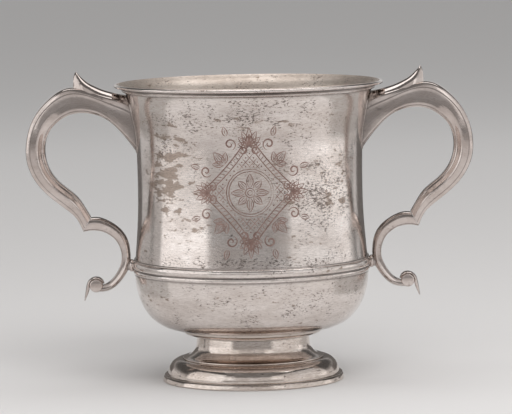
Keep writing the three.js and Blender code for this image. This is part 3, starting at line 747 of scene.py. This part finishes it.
def ornament_strokes():
    """The whole ornament: a banded lozenge, a rosette in it, a palmette at each corner."""
    strokes = []
    for mirror in ((1, 1), (-1, 1), (-1, -1), (1, -1)):
        strokes += [(points * mirror, width) for points, width in quarter_strokes()]
    for degrees, corner in ((0, (1, 0)), (90, (0, 1)), (180, (-1, 0)), (270, (0, -1))):
        base = LOZENGE_HALF * corner * PALMETTE_PLACE
        strokes += palmette_strokes(base, degrees, PALMETTE_SIZE)
    for petal in range(PETALS):
        degrees = 360 / PETALS * petal
        base = turned_by(np.array([[PETAL_BASE, 0.0]]), degrees)[0]
        strokes += leaf_strokes(base, degrees, PETAL_LENGTHS[petal % 2], PETAL_HALF, 2)
    for radius in MEDAL_RINGS:
        strokes.append((arc((0, 0), (radius, radius), 0, 360, len(WAY)), LINE_WIDTH))
    return strokes + trellis_strokes()


def make_ornament():
    """The engraved lines: three-sided slivers laid on the wall, pointed at both ends.

    Each stroke's middle rises a little off the wall and its sides sink in it. Its width is the
    square root of a sine along its length, and its place is wrapped round the bowl's radius.
    """
    strokes = ornament_strokes()
    middle = np.array([points for points, _ in strokes])
    width = np.array([width for _, width in strokes])[:, None] * np.sqrt(np.sin(math.pi * WAY)) / 2
    run = np.gradient(middle, axis=1)
    run /= np.maximum(np.linalg.norm(run, axis=2), TINY)[..., None]
    aside = np.stack([-run[..., 1], run[..., 0]], -1) * width[..., None]
    flat = np.stack([middle - aside, middle, middle + aside], 2)
    height = ORNAMENT_HEIGHT + flat[..., 1]
    radius = body_radius(height) + np.array([-CUT_SINK, CUT_RISE, -CUT_SINK])
    angle = flat[..., 0] / ORNAMENT_RADIUS
    points = np.stack([radius * np.sin(angle), -radius * np.cos(angle), height], -1)
    one = grid_faces(len(WAY), 3, wrap=True)
    faces = one[None] + 3 * len(WAY) * np.arange(len(strokes))[:, None, None]
    vertices = points.reshape(-1, 3)
    return mesh_piece("engraved_ornament", vertices, faces.reshape(-1, 4), smooth_angle=20,
                      dirt_and_shade=np.zeros(len(vertices)))


# Materials

def linear(hex_colour):
    """An sRGB hex colour as linear red, green, blue and a full alpha."""
    channels = [int(hex_colour[i:i + 2], 16) / 255 for i in (1, 3, 5)]
    return [c / 12.92 if c <= 0.04045 else ((c + 0.055) / 1.055) ** 2.4 for c in channels] + [1.0]


def per_metre(size_mm):
    """Pattern scale for a feature of a real size in millimetres, on coordinates in metres."""
    return 1000 / size_mm


def add(tree, kind, values=None, **settings):
    """Adds a node with its settings; each value sets an input or links it to another's output."""
    made = tree.nodes.new(kind)
    for key, value in settings.items():
        setattr(made, key, value)
    for key, value in (values or {}).items():
        if isinstance(value, bpy.types.NodeSocket):
            tree.links.new(value, made.inputs[key])
        else:
            made.inputs[key].default_value = value
    return made


def new_material(name):
    """An empty node material and its tree."""
    material = bpy.data.materials.new(name)
    material.use_nodes = True
    material.node_tree.nodes.clear()
    return material, material.node_tree


# Colours laid over the clean silver: polishing lines, smears, specks, the inside's warmer tint, dirt and
# painted shade
POLISH_DARK, POLISH_BRIGHT = "#cdc5c0", "#fffefd"
SMEAR_COLOUR = "#b0a298"
SPECK_COLOUR = "#5f524c"
LINING_COLOUR = "#f6f1ea"
# Near black of the joints' dirt, also used as painted shade at the handles' roots and under the bowl
DIRT_AND_SHADE_COLOUR = "#3a312b"

# Real sizes of the silver's patterns in millimetres, and how much they are drawn out level. Real
# polishing lines are finer than the picture shows, so these are as coarse as they need to show.
SMEAR_MM = 8
POLISH_MM = 3.2
SPECK_MM = 1.8
SWARM_MM = 9
PLANISH_MM = 13
SMEAR_STRETCH = 2.4

# Depths in metres of the polishing lines and the hammer marks, and how strongly both are drawn
POLISH_DEPTH, PLANISH_DEPTH = 0.0003, 0.0008
BUMP_STRENGTH = 0.1

# How much clouds and patches add to the smears, swarms and patches to the specks, and the inside
# and the dirt and painted shade to the roughness, and how much the polishing lines take from it
CLOUD_IN_SMEAR, PATCH_IN_SMEAR = 0.3, 0.2
SWARM_IN_SPECKS, PATCH_IN_SPECKS = 0.35, 0.11
ROUGH_INSIDE, ROUGH_DIRT = 0.35, 0.3
POLISH_GLOSS = -0.4
POLISH_SHOWS = 0.5
SPECKS_SHOW = 0.85


def old_silver(name, clean, dull, cloud_mm, smear_range, gloss, rough, stretch=6.0, marks=1.0):
    """Silver that has been polished for many years: warm and mirror-like where clean.

    Broad clouds of thin tarnish soften and brown it, level polishing lines run round it, small
    dark specks gather in swarms, and black dirt stays along the joints; the same near-black paints
    shade round the handles' roots and under the bowl. Shallow hammer marks bend what it mirrors.
    Marks is how strongly the lines and specks show.
    """
    material, tree = new_material(name)
    place = add(tree, "ShaderNodeTexCoord").outputs["Object"]
    level, lined = (
        add(tree, "ShaderNodeMapping", {"Vector": place, "Scale": (1, 1, drawn_out)}).outputs["Vector"]
        for drawn_out in (SMEAR_STRETCH, stretch))
    dirt_and_shade, patch, specked, inside = (
        add(tree, "ShaderNodeAttribute", attribute_name=kept).outputs["Fac"]
        for kept in ("dirt_and_shade", "tarnish", "specks", "inside"))
    cloud, smear, wear, speck, swarm, planish = (
        add(tree, "ShaderNodeTexNoise", {"Vector": along, "Scale": per_metre(size_mm), "Detail": detail,
                                         "Roughness": roughness}).outputs["Fac"]
        for along, size_mm, detail, roughness in (
            (level, cloud_mm, 6.0, 0.62), (level, SMEAR_MM, 8.0, 0.64), (lined, POLISH_MM, 5.0, 0.8),
            (level, SPECK_MM, 4.0, 0.75), (place, SWARM_MM, 2.0, 0.5), (place, PLANISH_MM, 1.0, 0.5)))
    for more, share in ((cloud, CLOUD_IN_SMEAR), (patch, PATCH_IN_SMEAR)):
        smear = add(tree, "ShaderNodeMath", {0: more, 1: share, 2: smear},
                    operation="MULTIPLY_ADD").outputs[0]
    for more, share in ((swarm, SWARM_IN_SPECKS), (specked, PATCH_IN_SPECKS)):
        speck = add(tree, "ShaderNodeMath", {0: more, 1: share, 2: speck},
                    operation="MULTIPLY_ADD").outputs[0]
    haze, smeared, lines, spots = (
        add(tree, "ShaderNodeMapRange", {"Value": pattern, "From Min": start, "From Max": full,
                                         "To Max": most}).outputs["Result"]
        for pattern, start, full, most in (
            (cloud, 0.4, 0.62, 0.6), (smear, *smear_range, 1.0), (wear, 0.4, 0.6, 1.0),
            (speck, 0.795, 0.845, SPECKS_SHOW * marks)))
    worn = add(tree, "ShaderNodeMix", {"Factor": lines, "A": linear(POLISH_DARK),
                                       "B": linear(POLISH_BRIGHT)}, data_type="RGBA").outputs["Result"]
    colour = linear(clean)
    for share, laid, blend in (
            (haze, linear(dull), "MIX"), (smeared, linear(SMEAR_COLOUR), "MIX"),
            (POLISH_SHOWS * marks, worn, "MULTIPLY"), (spots, linear(SPECK_COLOUR), "MIX"),
            # the dirt layer is joint dirt and, at the handles' roots and under the bowl, painted shade
            (inside, linear(LINING_COLOUR), "MULTIPLY"), (dirt_and_shade, linear(DIRT_AND_SHADE_COLOUR), "MIX")):
        colour = add(tree, "ShaderNodeMix", {"Factor": share, "A": colour, "B": laid}, data_type="RGBA",
                     blend_type=blend).outputs["Result"]
    dulling = add(tree, "ShaderNodeMath", {0: haze, 1: smeared}, operation="MAXIMUM").outputs[0]
    dull_lines = add(tree, "ShaderNodeMath", {0: lines, 1: POLISH_GLOSS, 2: dulling},
                     operation="MULTIPLY_ADD").outputs[0]
    soft = add(tree, "ShaderNodeMapRange", {"Value": dull_lines, "From Min": POLISH_GLOSS, "To Min": gloss,
                                            "To Max": rough}).outputs["Result"]
    for more, share in ((inside, ROUGH_INSIDE), (dirt_and_shade, ROUGH_DIRT)):
        soft = add(tree, "ShaderNodeMath", {0: more, 1: share, 2: soft}, operation="MULTIPLY_ADD").outputs[0]
    scratched = add(tree, "ShaderNodeBump", {"Height": wear, "Strength": BUMP_STRENGTH,
                                             "Distance": POLISH_DEPTH})
    dented = add(tree, "ShaderNodeBump", {"Height": planish, "Strength": BUMP_STRENGTH,
                                          "Distance": PLANISH_DEPTH, "Normal": scratched.outputs["Normal"]})
    shader = add(tree, "ShaderNodeBsdfPrincipled", {"Base Color": colour, "Metallic": 1.0, "Roughness": soft,
                                                    "Normal": dented.outputs["Normal"]})
    add(tree, "ShaderNodeOutputMaterial", {"Surface": shader.outputs["BSDF"]})
    return material


# Raised by the hammer and wiped level for years: a soft mirror, streaked, smeared and specked
bowl_silver = old_silver("raised_silver_old_polish", "#f5eeea", "#d2c7c0", cloud_mm=30,
                         smear_range=(0.8, 0.835), gloss=0.05, rough=0.24)
# Turned on the lathe: a brighter and cleaner mirror with thin clouds
foot_silver = old_silver("turned_silver_bright", "#ebe1da", "#d0c2b7", cloud_mm=22,
                         smear_range=(0.88, 1.0), gloss=0.04, rough=0.15)
# Cast and worn smooth by hands: greyer, evenly clouded, with few lines and specks
handle_silver = old_silver("cast_silver_worn", "#e0d6d1", "#c4b7b0", cloud_mm=26,
                           smear_range=(0.88, 1.06), gloss=0.06, rough=0.17, stretch=1.4, marks=0.45)

CUT_LIGHT, CUT_DARK = "#ab9189", "#8b726a"
CUT_GRAIN_MM = 3.0
CUT_ROUGHNESS = 0.42


def engraved_silver():
    """Cut lines in silver: tarnished reddish brown, with a broken, dull bottom.

    The real grain is finer than the picture shows, so it is drawn as coarse as it needs to show.
    """
    material, tree = new_material("engraved_line_tarnished")
    place = add(tree, "ShaderNodeTexCoord").outputs["Object"]
    grain = add(tree, "ShaderNodeTexNoise", {"Vector": place, "Scale": per_metre(CUT_GRAIN_MM),
                                             "Detail": 4.0, "Roughness": 0.7}).outputs["Fac"]
    tone = add(tree, "ShaderNodeMapRange", {"Value": grain, "From Min": 0.35, "From Max": 0.65})
    colour = add(tree, "ShaderNodeMix", {"Factor": tone.outputs["Result"], "A": linear(CUT_LIGHT),
                                         "B": linear(CUT_DARK)}, data_type="RGBA")
    broken = add(tree, "ShaderNodeBump", {"Height": grain, "Strength": 0.2, "Distance": 0.0002})
    shader = add(tree, "ShaderNodeBsdfPrincipled",
                 {"Base Color": colour.outputs["Result"], "Metallic": 1.0, "Roughness": CUT_ROUGHNESS,
                  "Normal": broken.outputs["Normal"]})
    add(tree, "ShaderNodeOutputMaterial", {"Surface": shader.outputs["BSDF"]})
    return material


engraved_line = engraved_silver()

# Patches on the bowl: degrees round from the front, height, half sizes of each, and amount
SPECKED = [
    (-8, 148, 36, 10, 0.75), (14, 157, 30, 4, 0.7), (40, 108, 22, 20, 1), (-46, 132, 16, 10, 0.8),
    (0, 71, 70, 3, 0.9), (-170, 120, 40, 20, 0.8), (95, 140, 20, 12, 0.8), (30, 50, 60, 8, 0.5)]
TARNISH = [
    (-46, 118, 15, 27, 1), (-27, 86, 9, 10, 0.5), (48, 110, 20, 22, 0.5), (4, 147, 36, 7, 0.3),
    (100, 128, 24, 22, 0.7), (150, 108, 22, 26, 0.6), (-100, 120, 20, 30, 0.6),
    (-160, 132, 30, 16, 0.7), (22, 44, 34, 8, 0.35), (-66, 50, 22, 7, 0.4), (120, 45, 50, 9, 0.5)]
# The bowl's patches end a little outside its lip. The look of its inside starts in the middle of
# the wall and of the bottom, and is full within a quarter of a millimetre of the wall.
LIP_MARGIN = 0.5
FLOOR_MARGIN = 0.5
LINING_EDGE = 4


def patches(table, x, y, z):
    """How far something has spread: bells round each patch's middle, the strongest one taken."""
    around = np.degrees(np.arctan2(x, -y))
    bells = []
    for middle, height, wide, tall, amount in table:
        off_middle = (around - middle + 180) % 360 - 180
        bells.append(amount * np.exp(-(off_middle / wide) ** 2 - ((z - height) / tall) ** 2))
    return np.max(bells, axis=0)


def dress(piece, material, slot, *nodes):
    """Gives a piece its material and its body, and hides the CAD nodes it stands for. The slot is not used.
    """
    place = np.empty(len(piece.data.vertices) * 3, np.float32)
    piece.data.vertices.foreach_get("co", place)
    x, y, z = place.reshape(-1, 3).T / MM
    on_bowl = np.hypot(x, y) < LIP_EDGE_RADIUS + LIP_MARGIN
    in_wall = body_radius(z) - 0.5 * BOWL_WALL - np.hypot(x, y)
    store(piece.data, "tarnish", patches(TARNISH, x, y, z) * on_bowl)
    store(piece.data, "specks", patches(SPECKED, x, y, z) * on_bowl)
    store(piece.data, "inside", in_wall * LINING_EDGE * (z > BOWL_BASE + FLOOR_MARGIN))
    piece.data.materials.append(material)
    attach(piece, "root")
    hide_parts(*nodes)


dress(make_bowl(), bowl_silver, "bowl_silver", "bowl")
dress(make_lip(), bowl_silver, "bowl_silver", "lip_wire")
dress(make_girdle(), bowl_silver, "bowl_silver", "girdle")
dress(make_ornament(), engraved_line, "bowl_silver")
dress(make_collar(), foot_silver, "foot_silver", "foot_collar")
dress(make_neck(), foot_silver, "foot_silver", "foot_neck")
dress(make_dome(), foot_silver, "foot_silver", "foot_dome")
dress(make_foot_wire(), foot_silver, "foot_silver", "foot_wire")


def handle_pieces(hand, turn):
    """The pieces of one handle, each with the CAD node that it stands for, if any."""
    front, back = ("front", "back") if turn == 1 else ("back", "front")
    return [
        (half_shell(f"{hand}_scroll_{front}_half", turn, -1), f"{hand}_handle_{front}_shell"),
        (half_shell(f"{hand}_scroll_{back}_half", turn, 1), f"{hand}_handle_{back}_shell"),
        (solder_line(f"{hand}_root_solder", turn),),
        (whole_loft(f"{hand}_thumb_leaf", LEAF_SPUR, SPUR_SECTION, turn, LEAF_STATIONS, root=True,
                    way=LEAF_CURL), f"{hand}_leaf_spur"),
        (whole_loft(f"{hand}_scroll_lower", LOWER_SCROLL, LOWER_SECTION, turn, LOWER_STATIONS,
                    LOWER_CREASE), f"{hand}_lower_scroll"),
        (bulb_piece(f"{hand}_scroll_bulb", turn),),
        (whole_loft(f"{hand}_tail_curl", LEAF_TAIL, TAIL_SECTION, turn, TAIL_STATIONS),
         f"{hand}_tail_leaf"),
        (plug_piece(f"{hand}_plug_stub", turn), f"{hand}_scroll_plug")]


for hand, turn in (("right", 1), ("left", -1)):
    for piece, *nodes in handle_pieces(hand, turn):
        dress(piece, handle_silver, "handle_silver", *nodes)


# Studio, in metres

CAMERA_PLACE = Vector((0.003, -2.0, 0.2815))
CAMERA_PITCH = math.radians(5.31)
CAMERA_ROLL = math.radians(-1.07)
LENS_MM = 255.4
SENSOR_MM = 36


def look_matrix(position, pitch, roll):
    """Camera placing: looks along +Y, pitched down, then rolled; columns are right, up and back."""
    forward = Vector((0, math.cos(pitch), -math.sin(pitch)))
    right = Vector((1, 0, 0))
    up = right.cross(forward)
    side = right * math.cos(roll) + up * math.sin(roll)
    top = up * math.cos(roll) - right * math.sin(roll)
    matrix = Matrix((side, top, -forward)).transposed().to_4x4()
    matrix.translation = position
    return matrix


camera_data = bpy.data.cameras.new("camera")
camera_data.sensor_width = SENSOR_MM
camera_data.lens = LENS_MM
camera = bpy.data.objects.new("camera", camera_data)
camera.matrix_world = look_matrix(CAMERA_PLACE, CAMERA_PITCH, CAMERA_ROLL)
bpy.context.scene.collection.objects.link(camera)
bpy.context.scene.camera = camera

# Where along Y the paper turns darker ahead of the picture, which is painted shade, and what is left
# of its glow there. Where the glow starts and is full, away from the cup.
AHEAD_START, AHEAD_FULL = -0.12, -0.6
AHEAD_GLOW = 0.6
GLOW_START, GLOW_FULL = 0.2, 1.8
GLOW_COLOUR = "#fbfaf9"


def plain_material(name, colour, shade_ahead_colour=None, glow=0.0):
    """A matt stage material of one colour, or of a darker one ahead of the picture as painted shade.

    Its glow grows with the distance from the cup and is weaker ahead of the picture, also painted
    shade. It is seen by the camera, in metal and through glass, and lights nothing.
    """
    material, tree = new_material(name)
    place = add(tree, "ShaderNodeTexCoord").outputs["Object"]
    depth = add(tree, "ShaderNodeSeparateXYZ", {0: place}).outputs["Y"]
    away = add(tree, "ShaderNodeVectorMath", {0: place}, operation="LENGTH").outputs["Value"]
    ahead, reach = (
        add(tree, "ShaderNodeMapRange", {"Value": value, "From Min": start, "From Max": full, "To Max": most},
            interpolation_type="SMOOTHSTEP").outputs["Result"]
        for value, start, full, most in (
            (depth, AHEAD_START, AHEAD_FULL, 1.0), (away, GLOW_START, GLOW_FULL, glow)))
    shade = add(tree, "ShaderNodeMix", {"Factor": ahead, "A": linear(colour),
                                        "B": linear(shade_ahead_colour or colour)}, data_type="RGBA")
    matt = add(tree, "ShaderNodeBsdfDiffuse", {"Color": shade.outputs["Result"]})
    kept = add(tree, "ShaderNodeMapRange", {"Value": ahead, "To Min": 1.0, "To Max": AHEAD_GLOW})
    ray = add(tree, "ShaderNodeLightPath").outputs
    strength = ray["Is Camera Ray"]
    for value, operation in ((ray["Is Glossy Ray"], "MAXIMUM"), (ray["Is Transmission Ray"], "MAXIMUM"),
                             (kept.outputs["Result"], "MULTIPLY"), (reach, "MULTIPLY")):
        strength = add(tree, "ShaderNodeMath", {0: strength, 1: value}, operation=operation).outputs[0]
    light = add(tree, "ShaderNodeEmission", {"Color": linear(GLOW_COLOUR), "Strength": strength})
    both = add(tree, "ShaderNodeAddShader", {0: matt.outputs["BSDF"], 1: light.outputs["Emission"]})
    add(tree, "ShaderNodeOutputMaterial", {"Surface": both.outputs["Shader"]})
    return material


def stage_sheet(name, corners, material):
    """A flat four-cornered sheet of the stage, corners in metres."""
    sheet = mesh_piece(name, np.array(corners) / MM, [(0, 1, 2, 3)])
    sheet.data.materials.append(material)
    return sheet


FLOOR_REACH = 30.0
# The paper's darker colour and weaker glow ahead of the picture are painted shade
stage_sheet("studio_floor",
            [(FLOOR_REACH * x, FLOOR_REACH * y, 0) for x, y in ((-1, -1), (1, -1), (1, 1), (-1, 1))],
            plain_material("studio_paper_pale", "#d8d6d5", shade_ahead_colour="#bab7b6", glow=0.22))


def on_circle(azimuth, distance, height):
    """A point round the cup: degrees from the front towards +X, metres away and up."""
    around = math.radians(azimuth)
    return Vector((distance * math.sin(around), -distance * math.cos(around), height))


def reflection_only_sheet(name, corners, material):
    """A sheet that only reflections see, so it darkens neither the paper nor the lamps' light."""
    sheet = stage_sheet(name, corners, material)
    sheet.visible_camera = False
    sheet.visible_shadow = False
    sheet.visible_diffuse = False


# Dark and grey sheets round the cup that only reflections see, painted dark reflections, which polished
# silver on a pale ground shows as its dark edges
dark_reflection_sheet = plain_material("studio_dark_cloth", "#2a2827")
grey_reflection_sheet = plain_material("studio_grey_cloth", "#6d6a68")
# Painted shade of the floor beside and behind the cup, as the silver mirrors it
grey_floor_shade_sheet = plain_material("studio_grey_felt", "#b9b7b5")

# Standing sheets, painted dark reflections: name, degrees from the front to both ends, metres away, bottom,
# top and material
REFLECTION_SHEETS = [
    ("beside_left", (-113, -118), 0.9, 0, 0.05, dark_reflection_sheet),
    ("beside_right", (122, 127), 0.9, 0.035, 0.07, dark_reflection_sheet),
    ("behind_left", (-141, -180), 0.6, 0, 0.14, grey_reflection_sheet),
    ("behind_right", (135, 180), 0.6, 0, 0.14, grey_reflection_sheet)]
for name, (first, last), distance, low, top, cloth in REFLECTION_SHEETS:
    corners = [on_circle(azimuth, distance, height)
               for azimuth, height in ((first, low), (last, low), (last, top), (first, top))]
    reflection_only_sheet(f"dark_reflection_sheet_{name}", corners, cloth)

# The grey sheet on each side of the cup, which only reflections see, is painted shade of the floor: its
# corners outwards and back, and its height
FLOOR_SHADE_SHEET_CORNERS = [(0.17, -0.04), (0.75, -0.04), (0.75, 0.6), (0.22, 0.6)]
FLOOR_SHADE_SHEET_HEIGHT = 0.001
for name, way in (("left", -1), ("right", 1)):
    corners = [(out * way, back, FLOOR_SHADE_SHEET_HEIGHT) for out, back in FLOOR_SHADE_SHEET_CORNERS]
    reflection_only_sheet(f"floor_shade_sheet_{name}", corners, grey_floor_shade_sheet)


def soft_box(name, position, target, size, radiance):
    """A rectangular lamp at a position that faces a target, in metres.

    Its power is its radiance times pi times its area.
    """
    lamp = bpy.data.lights.new(name, "AREA")
    lamp.shape = "RECTANGLE"
    lamp.size, lamp.size_y = size
    lamp.energy = radiance * math.pi * size[0] * size[1]
    stand = bpy.data.objects.new(name, lamp)
    facing = (position - target).to_track_quat("Z", "Y")
    stand.matrix_world = Matrix.Translation(position) @ facing.to_matrix().to_4x4()
    stand.visible_camera = False
    bpy.context.scene.collection.objects.link(stand)
    return stand


# Lamps round the cup that face level inwards: degrees from the front, metres away, height, width
# and height of the box, and radiance
LAMPS = [
    ("left", -71, 1.1, 0.54, (1.2, 1.04), 0.8), ("right", 77, 0.9, 0.46, (1.44, 0.9), 0.49),
    ("inner_left", -35.5, 1.15, 0.475, (0.27, 0.59), 0.65),
    ("inner_right", 33, 1.15, 0.475, (0.27, 0.59), 0.65)]
for name, azimuth, distance, height, size, radiance in LAMPS:
    place = on_circle(azimuth, distance, height)
    soft_box(f"soft_box_{name}", place, Vector((0, 0, height)), size, radiance)

# The lamp over the cup, and the fill over the camera, which lights the paper and isn't mirrored
ABOVE_PLACE = Vector((0.15, 0.15, 1.4))
FILL_PLACE = Vector((0.4, -1.5, 1.5))
soft_box("soft_box_above", ABOVE_PLACE, Vector((*ABOVE_PLACE.xy, 0)), (1.7, 1.3), 1.6)
fill = soft_box("soft_box_fill", FILL_PLACE, Vector((0, 0, 0)), (2.0, 1.0), 4.4)
fill.visible_glossy = False

# How the air changes with a direction's height, Z, or its turn to the back, Y: where the change
# starts and ends, and the value before and after it. Way back is the share that the air behind has.
AIR_COLOUR = "#fbf9f8"
AIR_CHANGES = {
    "low_front": ("Z", 0.06, 0.2, 0.36, 0.66),
    "low_side": ("Z", 0.08, 0.16, 0.36, 0.27),
    "high_front": ("Z", 0.42, 0.55, 1.0, 0.33),
    "behind": ("Z", 0.1, 0.38, 0.62, 0.1),
    "way_back": ("Y", 0.1, 0.35, 0.0, 1.0)}
SIDE_START, SIDE_FULL = 0.46, 0.5


def studio_air():
    """The air round the cup: brightest a little above level in front and low behind, and dim at
    the sides and high up.
    """
    world = bpy.data.worlds.new("studio_air")
    world.use_nodes = True
    tree = world.node_tree
    tree.nodes.clear()
    direction = add(tree, "ShaderNodeTexCoord").outputs["Generated"]
    facing = add(tree, "ShaderNodeSeparateXYZ", {"Vector": direction}).outputs
    air = {name: add(tree, "ShaderNodeMapRange", {"Value": facing[axis], "From Min": start, "From Max": end,
                                                  "To Min": first, "To Max": last},
                     interpolation_type="SMOOTHSTEP").outputs["Result"]
           for name, (axis, start, end, first, last) in AIR_CHANGES.items()}
    aside = add(tree, "ShaderNodeMath", {0: facing["X"]}, operation="ABSOLUTE").outputs[0]
    way_aside = add(tree, "ShaderNodeMapRange", {"Value": aside, "From Min": SIDE_START,
                                                 "From Max": SIDE_FULL}).outputs["Result"]
    low = add(tree, "ShaderNodeMix", {"Factor": way_aside, "A": air["low_front"], "B": air["low_side"]},
              data_type="FLOAT").outputs["Result"]
    front = add(tree, "ShaderNodeMath", {0: low, 1: air["high_front"]}, operation="MULTIPLY").outputs[0]
    strength = add(tree, "ShaderNodeMix", {"Factor": air["way_back"], "A": front, "B": air["behind"]},
                   data_type="FLOAT").outputs["Result"]
    background = add(tree, "ShaderNodeBackground", {"Color": linear(AIR_COLOUR), "Strength": strength})
    add(tree, "ShaderNodeOutputWorld", {"Surface": background.outputs["Background"]})
    return world


bpy.context.scene.world = studio_air()
bpy.context.scene.view_settings.view_transform = "Standard"
